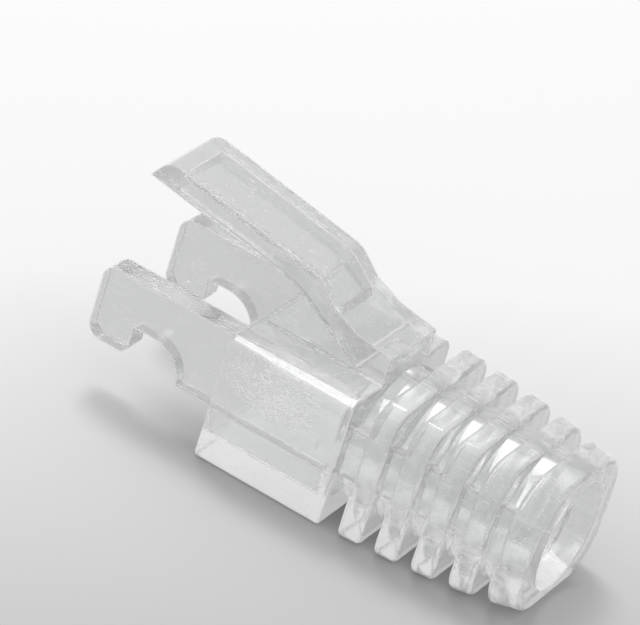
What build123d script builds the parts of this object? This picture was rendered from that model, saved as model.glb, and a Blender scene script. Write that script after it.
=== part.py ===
from build123d import *
import os

# A one-piece strain relief boot for an eight-way modular plug, moulded in clear soft PVC.
# Frame in millimetres: the cable bore lies along Y with its rear mouth at the origin,
# +Y points to the plug, +Z to the latch guard, and the flat underside faces -Z.

# Collar that butts on the rear of the plug
collar_half_width = 5.85
collar_top = 4.3
underside = -4.12
collar_rear = 12.6
collar_front = 21.2
collar_wall = 1.3
collar_rear_wall = 1.0
collar_top_corner = 0.9
collar_low_corner = 0.45
cavity_corner = 0.5

# Raised pad on the collar that carries the guard
pad_height = 0.15
pad_front = 20.6

# Tail that bends with the cable: a tube with five flat-sided rings
bore_radius = 3.5
tube_radius = 4.3
tube_flat_relief = 0.12
ring_count = 5
ring_pitch = 2.35
ring_length = 1.45
first_ring_front = 11.35
first_ring_top = 4.85
first_ring_top_corner = 1.7
first_ring_low_corner = 0.7
end_ring_half_width = 4.95
end_ring_top = 4.35
end_ring_top_corner = 3.3
end_ring_low_corner = 3.0
corner_growth = 3
ring_edge_round = 0.28

# Rib along each side of the tube, in line with the arms
rib_bottom = -0.8
rib_top = 2.3
rib_depth_below_ring = 0.95

# Arms that go into the plug beside the cable, with a hook at the front of each
arm_half_span = 5.06
arm_thickness = 1.6
arm_top = 4.0
arm_bottom = -1.05
arm_front = 30.2
hook_bottom = -0.85
hook_length = 2.8
notch_top = 1.05
notch_length = 1.4
hook_toe_round = 0.9
hook_heel_round = 0.6
hook_crown_round = 0.8

# Guard over the plug's latch, given as points of its side view: distance along Y and height
guard_half_width = 2.65
guard_lip = (30.2, 9.2)
guard_nose = (29.3, 10.6)
guard_bend = (18.5, 8.7)
guard_crease = (17.0, 7.35)
guard_saddle = (15.1, 6.55)
guard_heel_top = 6.15
skirt_bend = (19.6, 7.4)
skirt_foot = 14.2
guard_plate = 0.6
guard_skirt = 0.8
recess_front = 28.4
nose_round = 1.2
bend_round = 2.0
saddle_round = 2.5
skirt_bend_round = 6.0

# Soft edges left by the mould
edge_round = 0.2


def cross_plane(y):
    """A plane across the bore at y, with its own X to the right and its own Y up."""
    return Plane(origin=(0, y, 0), x_dir=(1, 0, 0), z_dir=(0, -1, 0))


def side_plane(x):
    """A plane along the bore at x, with its own X to the front and its own Y up."""
    return Plane(origin=(x, 0, 0), x_dir=(0, 1, 0), z_dir=(1, 0, 0))


def cross_section(y, half_width, top, bottom, top_corner, low_corner):
    """A flat-sided section across the bore, with separate radii at its upper and lower corners."""
    section = Pos(0, (top + bottom) / 2) * Rectangle(2 * half_width, top - bottom)
    section = fillet(section.vertices().sort_by(Axis.Y)[2:], top_corner)
    section = fillet(section.vertices().sort_by(Axis.Y)[:2], low_corner)
    return cross_plane(y) * section


def prism(section, length):
    return extrude(section, amount=length, dir=(0, 1, 0))


def side_prism(profile, half_width):
    """A profile in the side view, given the same width on both sides of the middle."""
    return extrude(side_plane(-half_width) * profile, amount=2 * half_width, dir=(1, 0, 0))


def round_corner(profile, point, radius):
    corner = profile.vertices().sort_by_distance((*point, 0))[0]
    return fillet(corner, radius)


def collar():
    shell = prism(cross_section(collar_rear, collar_half_width, collar_top, underside,
                                collar_top_corner, collar_low_corner), collar_front - collar_rear)
    ends = shell.faces().sort_by(Axis.Y)
    shell = fillet(ends[0].edges() + ends[-1].edges(), edge_round)
    pad_length = pad_front - collar_rear
    pad = Pos(0, collar_rear + pad_length / 2, collar_top) * Box(2 * guard_half_width, pad_length, 2 * pad_height)
    return shell + pad


def cavity():
    """The room inside the collar for the rear of the plug."""
    rear = collar_rear + collar_rear_wall
    section = cross_section(rear, collar_half_width - collar_wall, collar_top - collar_wall,
                            underside + collar_wall, cavity_corner, cavity_corner)
    return prism(section, collar_front - rear + collar_wall)


def ring_section(y):
    """The rings narrow towards the rear while their corners open out to a nearly round end."""
    taper = 1 - y / first_ring_front
    blend = taper ** corner_growth
    half_width = collar_half_width + taper * (end_ring_half_width - collar_half_width)
    top = first_ring_top + taper * (end_ring_top - first_ring_top)
    top_corner = first_ring_top_corner + blend * (end_ring_top_corner - first_ring_top_corner)
    low_corner = first_ring_low_corner + blend * (end_ring_low_corner - first_ring_low_corner)
    return cross_section(y, half_width, top, underside, top_corner, low_corner)


def ring(index):
    front = first_ring_front - index * ring_pitch
    rear = 0 if index == ring_count - 1 else front - ring_length
    body = loft([ring_section(rear), ring_section(front)], ruled=True)
    ends = body.faces().sort_by(Axis.Y)
    return fillet(ends[0].edges() + ends[-1].edges(), ring_edge_round)


def tube():
    """The tube that carries the rings, with a flat a little above their underside."""
    flat = underside + tube_flat_relief
    below = Pos(0, flat - tube_radius) * Rectangle(2 * tube_radius, 2 * tube_radius)
    return prism(cross_plane(ring_edge_round) * (Circle(tube_radius) - below), tube_end() - ring_edge_round)


def tube_end():
    return collar_rear + collar_rear_wall / 2


def rib_section(y, side):
    taper = 1 - y / first_ring_front
    outer = collar_half_width + taper * (end_ring_half_width - collar_half_width) - rib_depth_below_ring
    middle = (outer + bore_radius) / 2
    return cross_plane(y) * Pos(side * middle, (rib_top + rib_bottom) / 2) * Rectangle(outer - bore_radius,
                                                                                         rib_top - rib_bottom)


def rib(side):
    return loft([rib_section(ring_edge_round, side), rib_section(tube_end(), side)], ruled=True)


def arm(side):
    """A flat blade whose hook points down behind a coved notch."""
    hook_rear = arm_front - hook_length
    notch_rear = hook_rear - notch_length
    cove = notch_top - arm_bottom
    toe, heel, crown = (arm_front, hook_bottom), (hook_rear, hook_bottom), (arm_front, arm_top)
    outline = Polyline((notch_rear, notch_top), (hook_rear, notch_top), heel, toe, crown,
                       (tube_end(), arm_top), (tube_end(), arm_bottom), (notch_rear - cove, arm_bottom))
    outline += RadiusArc((notch_rear - cove, arm_bottom), (notch_rear, notch_top), cove)
    profile = make_face(outline)
    for corner, radius in ((toe, hook_toe_round), (heel, hook_heel_round), (crown, hook_crown_round)):
        profile = round_corner(profile, corner, radius)
    start = arm_half_span if side < 0 else arm_thickness - arm_half_span
    return extrude(side_plane(-start) * profile, amount=arm_thickness, dir=(1, 0, 0))


def guard():
    """The cantilevered guard: a plate with a rounded nose and a skirt down each side."""
    seat = collar_top - collar_wall / 2
    outline = Polyline(guard_lip, guard_nose, guard_bend, guard_crease, guard_saddle,
                       (collar_rear, guard_heel_top), (collar_rear, seat), (skirt_foot, seat),
                       (skirt_foot, collar_top), skirt_bend, close=True)
    profile = make_face(outline)
    for corner, radius in ((guard_nose, nose_round), (guard_bend, bend_round),
                           (guard_saddle, saddle_round), (skirt_bend, skirt_bend_round)):
        profile = round_corner(profile, corner, radius)
    return side_prism(profile, guard_half_width)


def guard_recess():
    """The hollow under the plate, between the skirts, open below and closed at the nose."""
    plate_slope = (guard_nose[1] - guard_bend[1]) / (guard_nose[0] - guard_bend[0])
    roof_front = guard_nose[1] - (guard_nose[0] - recess_front) * plate_slope - guard_plate
    outline = Polyline((recess_front, roof_front), (guard_bend[0], guard_bend[1] - guard_plate),
                       (guard_crease[0], guard_crease[1] - guard_plate), (guard_crease[0], collar_top + pad_height),
                       (recess_front, collar_top + pad_height), close=True)
    return side_prism(make_face(outline), guard_half_width - guard_skirt)


def cable_bore():
    return prism(cross_plane(0) * Circle(bore_radius), collar_rear + 2 * collar_rear_wall)


def boot():
    outer = collar() + guard() + tube() + [ring(index) for index in range(ring_count)] + [rib(-1), rib(1)]
    return outer - guard_recess() - cavity() + [arm(-1), arm(1)] - cable_bore()


os.makedirs("parts", exist_ok=True)
export_step(boot(), "parts/boot.step")
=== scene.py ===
import math
import bpy
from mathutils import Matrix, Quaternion, Vector


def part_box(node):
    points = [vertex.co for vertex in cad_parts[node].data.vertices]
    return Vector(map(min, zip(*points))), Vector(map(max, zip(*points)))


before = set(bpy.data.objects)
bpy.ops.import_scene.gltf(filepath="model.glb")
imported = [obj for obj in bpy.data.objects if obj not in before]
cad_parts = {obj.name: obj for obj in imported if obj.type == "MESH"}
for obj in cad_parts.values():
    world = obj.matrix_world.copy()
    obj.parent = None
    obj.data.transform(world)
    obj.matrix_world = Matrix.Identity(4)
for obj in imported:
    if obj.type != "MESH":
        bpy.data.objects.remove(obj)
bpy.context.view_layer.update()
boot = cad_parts["boot"]
bootLow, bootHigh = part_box("boot")
mm = 0.001  # the frame is in metres
scene = bpy.context.scene
print("frame loaded, boot is", [round((h - l) / mm, 1) for l, h in zip(bootLow, bootHigh)], "mm")


def hexColour(text):
    channels = [int(text[i:i + 2], 16) / 255 for i in (1, 3, 5)]
    return tuple(c / 12.92 if c <= 0.04045 else ((c + 0.055) / 1.055) ** 2.4 for c in channels) + (1.0,)


def addNode(tree, kind, settings=None, values=None, links=None):
    node = tree.nodes.new(kind)
    for name, value in (settings or {}).items():
        setattr(node, name, value)
    for socket, value in (values or {}).items():
        node.inputs[socket].default_value = value
    for socket, source in (links or {}).items():
        tree.links.new(source, node.inputs[socket])
    return node


def newMaterial(name):
    material = bpy.data.materials.new(name)
    material.use_nodes = True
    material.node_tree.nodes.clear()
    return material, material.node_tree


# Camera: left of the boot, a little behind it, looking down 30 degrees, with the head tipped
camera = {
    "lookAt": (-2.8, 17.6, 6.7),  # mm, the middle of the picture
    "distance": 300.2,  # mm
    "azimuth": 291.7,  # degrees round the boot, 0 looks along +Y
    "elevation": 30.0,
    "roll": 17.9,
    "lens": 297.4,
    "sensor": 36.0,  # mm
    "nearest": 10.0,  # mm, nothing nearer is drawn
}
turn, rise = math.radians(camera["azimuth"]), math.radians(camera["elevation"])
back = Vector((math.sin(turn) * math.cos(rise), -math.cos(turn) * math.cos(rise), math.sin(rise)))
tipped = Quaternion((0, 0, 1), math.radians(camera["roll"]))
cameraData = bpy.data.cameras.new("camera")
cameraData.lens = camera["lens"]
cameraData.sensor_width = camera["sensor"]
cameraData.clip_start = camera["nearest"] * mm
cameraObject = bpy.data.objects.new("camera", cameraData)
cameraObject.location = (Vector(camera["lookAt"]) + back * camera["distance"]) * mm
cameraObject.rotation_mode = "QUATERNION"
cameraObject.rotation_quaternion = (-back).to_track_quat("-Z", "Y") @ tipped
scene.collection.objects.link(cameraObject)
scene.camera = cameraObject
print("camera placed")

# Clear soft PVC, injection moulded: glossy and a touch milky, with a painted highlight along each edge where
# light gathers, fine streaks where it flowed along the mould, hair scratches, and a scuffed patch on the
# collar's side
clearPvc = {
    "colour": "#f2f3f3",
    "ior": 1.53,
    "roughness": 0.17,
    "transmission": 0.91,
    "coat": 1.0,
    "coatRoughness": 0.03,
    "absorption": "#cdcfcf",
    "absorptionDensity": 1.0,  # per metre
    "shadow": "#d4d4d4",  # what one wall lets through to the table
    "shadowWalls": 5.0,  # walls that add to the shadow
    "insideLight": "#f7f7f7",  # to the plastic behind it, and to the table past those walls
    "edgeRound": 0.12,  # mm, soft edges left by the mould
    "edgeHighlightReach": 0.14,  # mm, how far the painted edge highlight reaches
    "edgeHighlightOpen": (0.94, 0.62),  # openness inward where the painted edge highlight starts, and where it is brightest
    "edgeHighlightShare": 0.92,
    "paleFront": "#e6e6e6",  # light sent back by the painted edge highlight and by the scratches and creases
    "paleBehind": "#c4c4c4",  # and light piped to it through the plastic
    "streakWidth": 0.25,  # mm across the flow
    "streakLength": 6.0,  # mm along the flow
    "streakDetail": 3.0,
    "streakGrain": 0.6,  # how strong the finest streaks are
    "streakHeight": 0.0015,  # mm
    "streakStrength": 0.5,
    "scratchWidth": 0.09,  # mm
    "scratchLength": 2.4,  # mm
    "scratchDetail": 2.0,
    "scratchFrom": 0.665,  # noise level at which a scratch starts
    "scratchFade": 0.05,  # and how much more noise makes it whole
    "scratchShare": 0.8,
    "scuffPlace": (-5.85, 17.9, 2.4),  # mm, middle of the patch
    "scuffReach": (1.5, 3.6, 2.0),  # mm
    "scuffFull": 0.6,  # part of the reach that is scuffed in full
    "scuffSize": (0.6, 1.1),  # mm between wrinkles, across the flow and along it
    "scuffDetail": 1.5,
    "scuffCurl": 1.6,
    "scuffHeight": 0.03,  # mm
    "scuffLine": 0.08,  # width of a crease, as a share of the noise
    "scuffShare": 0.95,
}
pvc, tree = newMaterial("clearSoftPvc")
place = addNode(tree, "ShaderNodeTexCoord").outputs["Object"]


def alongFlow(width, length):
    scale = (1 / (width * mm), 1 / (length * mm), 1 / (width * mm))
    mapping = addNode(tree, "ShaderNodeMapping", values={"Scale": scale}, links={"Vector": place})
    return mapping.outputs["Vector"]


streaks = addNode(tree, "ShaderNodeTexNoise", values={
    "Scale": 1.0, "Detail": clearPvc["streakDetail"], "Roughness": clearPvc["streakGrain"]},
    links={"Vector": alongFlow(clearPvc["streakWidth"], clearPvc["streakLength"])})
softEdge = addNode(tree, "ShaderNodeBevel", settings={"samples": 6},
                   values={"Radius": clearPvc["edgeRound"] * mm})
flowRelief = addNode(tree, "ShaderNodeBump", values={
    "Strength": clearPvc["streakStrength"], "Distance": clearPvc["streakHeight"] * mm},
    links={"Height": streaks.outputs["Fac"], "Normal": softEdge.outputs["Normal"]})
toScuff = addNode(tree, "ShaderNodeMapping", settings={"vector_type": "TEXTURE"}, values={
    "Location": [c * mm for c in clearPvc["scuffPlace"]], "Scale": [c * mm for c in clearPvc["scuffReach"]]},
    links={"Vector": place})
scuffDistance = addNode(tree, "ShaderNodeVectorMath", settings={"operation": "LENGTH"},
                        links={0: toScuff.outputs["Vector"]})
scuffMask = addNode(tree, "ShaderNodeMapRange", values={"From Min": 1.0, "From Max": clearPvc["scuffFull"]},
                    links={"Value": scuffDistance.outputs["Value"]})
wrinkles = addNode(tree, "ShaderNodeTexNoise", values={
    "Scale": 1.0, "Detail": clearPvc["scuffDetail"], "Distortion": clearPvc["scuffCurl"]},
    links={"Vector": alongFlow(*clearPvc["scuffSize"])})
scuffs = addNode(tree, "ShaderNodeMath", settings={"operation": "MULTIPLY"},
                 links={0: scuffMask.outputs["Result"], 1: wrinkles.outputs["Fac"]})
relief = addNode(tree, "ShaderNodeBump", values={"Strength": 1.0, "Distance": clearPvc["scuffHeight"] * mm},
                 links={"Height": scuffs.outputs["Value"], "Normal": flowRelief.outputs["Normal"]})
body = addNode(tree, "ShaderNodeBsdfPrincipled", values={
    "Base Color": hexColour(clearPvc["colour"]), "IOR": clearPvc["ior"], "Roughness": clearPvc["roughness"],
    "Transmission Weight": clearPvc["transmission"], "Coat Weight": clearPvc["coat"],
    "Coat Roughness": clearPvc["coatRoughness"]}, links={"Normal": relief.outputs["Normal"]})

# Painted highlight along each edge, where light gathers; real wear pales the hair scratches and the creases
# of the scuffed patch
inward = addNode(tree, "ShaderNodeAmbientOcclusion", settings={"samples": 8, "inside": True},
                 values={"Distance": clearPvc["edgeHighlightReach"] * mm})
highlightStart, highlightFull = clearPvc["edgeHighlightOpen"]
# painted highlight: paler where the plastic closes in behind an edge
paintedEdgeHighlight = addNode(tree, "ShaderNodeMapRange", values={
    "From Min": highlightStart, "From Max": highlightFull, "To Max": clearPvc["edgeHighlightShare"]},
    links={"Value": inward.outputs["AO"]})
hairs = addNode(tree, "ShaderNodeTexNoise", values={"Scale": 1.0, "Detail": clearPvc["scratchDetail"]},
                links={"Vector": alongFlow(clearPvc["scratchWidth"], clearPvc["scratchLength"])})
scratches = addNode(tree, "ShaderNodeMapRange", values={
    "From Min": clearPvc["scratchFrom"], "From Max": clearPvc["scratchFrom"] + clearPvc["scratchFade"],
    "To Max": clearPvc["scratchShare"]}, links={"Value": hairs.outputs["Fac"]})
offMiddle = addNode(tree, "ShaderNodeMath", settings={"operation": "SUBTRACT"}, values={1: 0.5},
                    links={0: wrinkles.outputs["Fac"]})
besideLine = addNode(tree, "ShaderNodeMath", settings={"operation": "ABSOLUTE"},
                     links={0: offMiddle.outputs["Value"]})
lines = addNode(tree, "ShaderNodeMapRange", values={
    "From Max": clearPvc["scuffLine"], "To Min": clearPvc["scuffShare"], "To Max": 0.0},
    links={"Value": besideLine.outputs["Value"]})
creases = addNode(tree, "ShaderNodeMath", settings={"operation": "MULTIPLY"},
                  links={0: scuffMask.outputs["Result"], 1: lines.outputs["Result"]})
marks = addNode(tree, "ShaderNodeMath", settings={"operation": "MAXIMUM"},
                links={0: creases.outputs["Value"], 1: scratches.outputs["Result"]})
# the painted edge highlight and the real scratches and creases share one pale finish
paintedHighlightAndWearShare = addNode(tree, "ShaderNodeMath", settings={"operation": "MAXIMUM"},
                    links={0: paintedEdgeHighlight.outputs["Result"], 1: marks.outputs["Value"]})
front = addNode(tree, "ShaderNodeBsdfDiffuse", values={"Color": hexColour(clearPvc["paleFront"])},
                links={"Normal": relief.outputs["Normal"]})
behind = addNode(tree, "ShaderNodeBsdfTranslucent", values={"Color": hexColour(clearPvc["paleBehind"])},
                 links={"Normal": relief.outputs["Normal"]})
paleHighlightAndWear = addNode(tree, "ShaderNodeAddShader", links={0: front.outputs["BSDF"], 1: behind.outputs["BSDF"]})
surface = addNode(tree, "ShaderNodeMixShader",
                  links={0: paintedHighlightAndWearShare.outputs["Value"], 1: body.outputs["BSDF"], 2: paleHighlightAndWear.outputs["Shader"]})

# Light goes straight through, so the shadow on the table stays pale and the milky inside is lit
rays = addNode(tree, "ShaderNodeLightPath")
lightRay = addNode(tree, "ShaderNodeMath", settings={"operation": "MAXIMUM"},
                   links={0: rays.outputs["Is Shadow Ray"], 1: rays.outputs["Is Diffuse Ray"]})
fromInside = addNode(tree, "ShaderNodeMath", settings={"operation": "GREATER_THAN"}, values={1: 0.5},
                     links={0: rays.outputs["Transmission Depth"]})
pastWalls = addNode(tree, "ShaderNodeMath", settings={"operation": "GREATER_THAN"},
                    values={1: clearPvc["shadowWalls"] - 0.5}, links={0: rays.outputs["Transparent Depth"]})
undimmed = addNode(tree, "ShaderNodeMath", settings={"operation": "MAXIMUM"},
                   links={0: fromInside.outputs["Value"], 1: pastWalls.outputs["Value"]})
dimmed = addNode(tree, "ShaderNodeBsdfTransparent", values={"Color": hexColour(clearPvc["shadow"])})
brighter = addNode(tree, "ShaderNodeBsdfTransparent", values={"Color": hexColour(clearPvc["insideLight"])})
through = addNode(tree, "ShaderNodeMixShader", links={
    0: undimmed.outputs["Value"], 1: dimmed.outputs["BSDF"], 2: brighter.outputs["BSDF"]})
look = addNode(tree, "ShaderNodeMixShader", links={
    0: lightRay.outputs["Value"], 1: surface.outputs["Shader"], 2: through.outputs["Shader"]})
tint = addNode(tree, "ShaderNodeVolumeAbsorption", values={
    "Color": hexColour(clearPvc["absorption"]), "Density": clearPvc["absorptionDensity"]})
addNode(tree, "ShaderNodeOutputMaterial",
        links={"Surface": look.outputs["Shader"], "Volume": tint.outputs["Volume"]})
for slot in boot.material_slots:
    slot.material = pvc
print("boot finished in clear soft PVC")

# Table: a matt white sweep with a painted light falloff, its colour paler at the back where the light
# reaches it
table = {
    "halfSize": 1500.0,  # mm
    "gap": 0.02,  # mm of air under the boot
    "nearColour": 0.52,
    "farColour": 1.00,
    "nearEdge": -36.0,  # mm from the boot's middle, along the bearing
    "farEdge": 20.0,
    "bearing": 41.0,  # degrees from +Y towards +X, the way the painted light falloff gets paler
    "throughClear": "#d8d8d8",  # how the table looks through the clear plastic
}
half = table["halfSize"] * mm
corners = [(-half, -half, 0), (half, -half, 0), (half, half, 0), (-half, half, 0)]
tableMesh = bpy.data.meshes.new("table")
tableMesh.from_pydata(corners, [], [(0, 1, 2, 3)])
tableObject = bpy.data.objects.new("table", tableMesh)
tableObject.location = (0, (bootLow.y + bootHigh.y) / 2, bootLow.z - table["gap"] * mm)
tableObject.rotation_euler.z = -math.radians(table["bearing"])
scene.collection.objects.link(tableObject)
sweep, tree = newMaterial("mattWhiteSweep")
onTable = addNode(tree, "ShaderNodeTexCoord").outputs["Object"]
along = addNode(tree, "ShaderNodeSeparateXYZ", links={"Vector": onTable})
# painted light falloff: darker at the near edge, paler at the far one
paintedLightFalloff = addNode(tree, "ShaderNodeMapRange", values={
    "From Min": table["nearEdge"] * mm, "From Max": table["farEdge"] * mm,
    "To Min": table["nearColour"], "To Max": table["farColour"]}, links={"Value": along.outputs["Y"]})
matt = addNode(tree, "ShaderNodeBsdfDiffuse", links={"Color": paintedLightFalloff.outputs["Result"]})
throughClear = addNode(tree, "ShaderNodeEmission", values={"Color": hexColour(table["throughClear"])})
rays = addNode(tree, "ShaderNodeLightPath")
seen = addNode(tree, "ShaderNodeMixShader", links={
    0: rays.outputs["Is Transmission Ray"], 1: matt.outputs["BSDF"], 2: throughClear.outputs["Emission"]})
addNode(tree, "ShaderNodeOutputMaterial", links={"Surface": seen.outputs["Shader"]})
tableMesh.materials.append(sweep)
print("table laid")

# Light: a long softbox overhead that only draws the bright strips, a lamp behind that only throws the
# shadow towards the camera, and a pale room that lights the rest
light = {
    "softboxSize": (1000.0, 50.0),  # mm
    "softboxPlace": (-88.0, 138.0, 380.0),  # mm
    "softboxTurn": -33.0,  # degrees, so that its long side lies across the bore
    "softboxPower": 0.85,  # watts
    "backLampSize": (120.0, 120.0),
    "backLampPlace": (114.0, 160.0, 380.0),
    "backLampTurn": 0.0,
    "backLampPower": 0.76,
    "roomStrength": 0.68,
    "roomInGloss": 1.0,  # also what the camera sees past the table
    "roomThroughClear": 0.64,
}
for name in ("softbox", "backLamp"):
    lampData = bpy.data.lights.new(name, "AREA")
    lampData.shape = "RECTANGLE"
    lampData.size, lampData.size_y = (side * mm for side in light[name + "Size"])
    lampData.energy = light[name + "Power"]
    lamp = bpy.data.objects.new(name, lampData)
    lamp.location = Vector(light[name + "Place"]) * mm
    lamp.rotation_mode = "QUATERNION"
    aimed = (-lamp.location).to_track_quat("-Z", "Y")
    lamp.rotation_quaternion = aimed @ Quaternion((0, 0, 1), math.radians(light[name + "Turn"]))
    lamp.visible_glossy = lamp.visible_transmission = name == "softbox"
    lamp.visible_diffuse = name == "backLamp"
    scene.collection.objects.link(lamp)
room = bpy.data.worlds.new("paleRoom")
room.use_nodes = True
tree = room.node_tree
tree.nodes.clear()
rays = addNode(tree, "ShaderNodeLightPath")
lit, gloss, clear = (addNode(tree, "ShaderNodeBackground", values={"Strength": light[key]})
                     for key in ("roomStrength", "roomInGloss", "roomThroughClear"))
bright = addNode(tree, "ShaderNodeMath", settings={"operation": "MAXIMUM"},
                 links={0: rays.outputs["Is Camera Ray"], 1: rays.outputs["Is Glossy Ray"]})
around = addNode(tree, "ShaderNodeMixShader", links={
    0: bright.outputs["Value"], 1: lit.outputs["Background"], 2: gloss.outputs["Background"]})
sky = addNode(tree, "ShaderNodeMixShader", links={
    0: rays.outputs["Is Transmission Ray"], 1: around.outputs["Shader"], 2: clear.outputs["Background"]})
addNode(tree, "ShaderNodeOutputWorld", links={"Surface": sky.outputs["Shader"]})
scene.world = room
scene.view_settings.view_transform = "Standard"
print("lights set")

# Light crosses many walls of clear plastic before it leaves
scene.cycles.max_bounces = 24
scene.cycles.transmission_bounces = 24
scene.cycles.glossy_bounces = 12
scene.cycles.transparent_max_bounces = 24
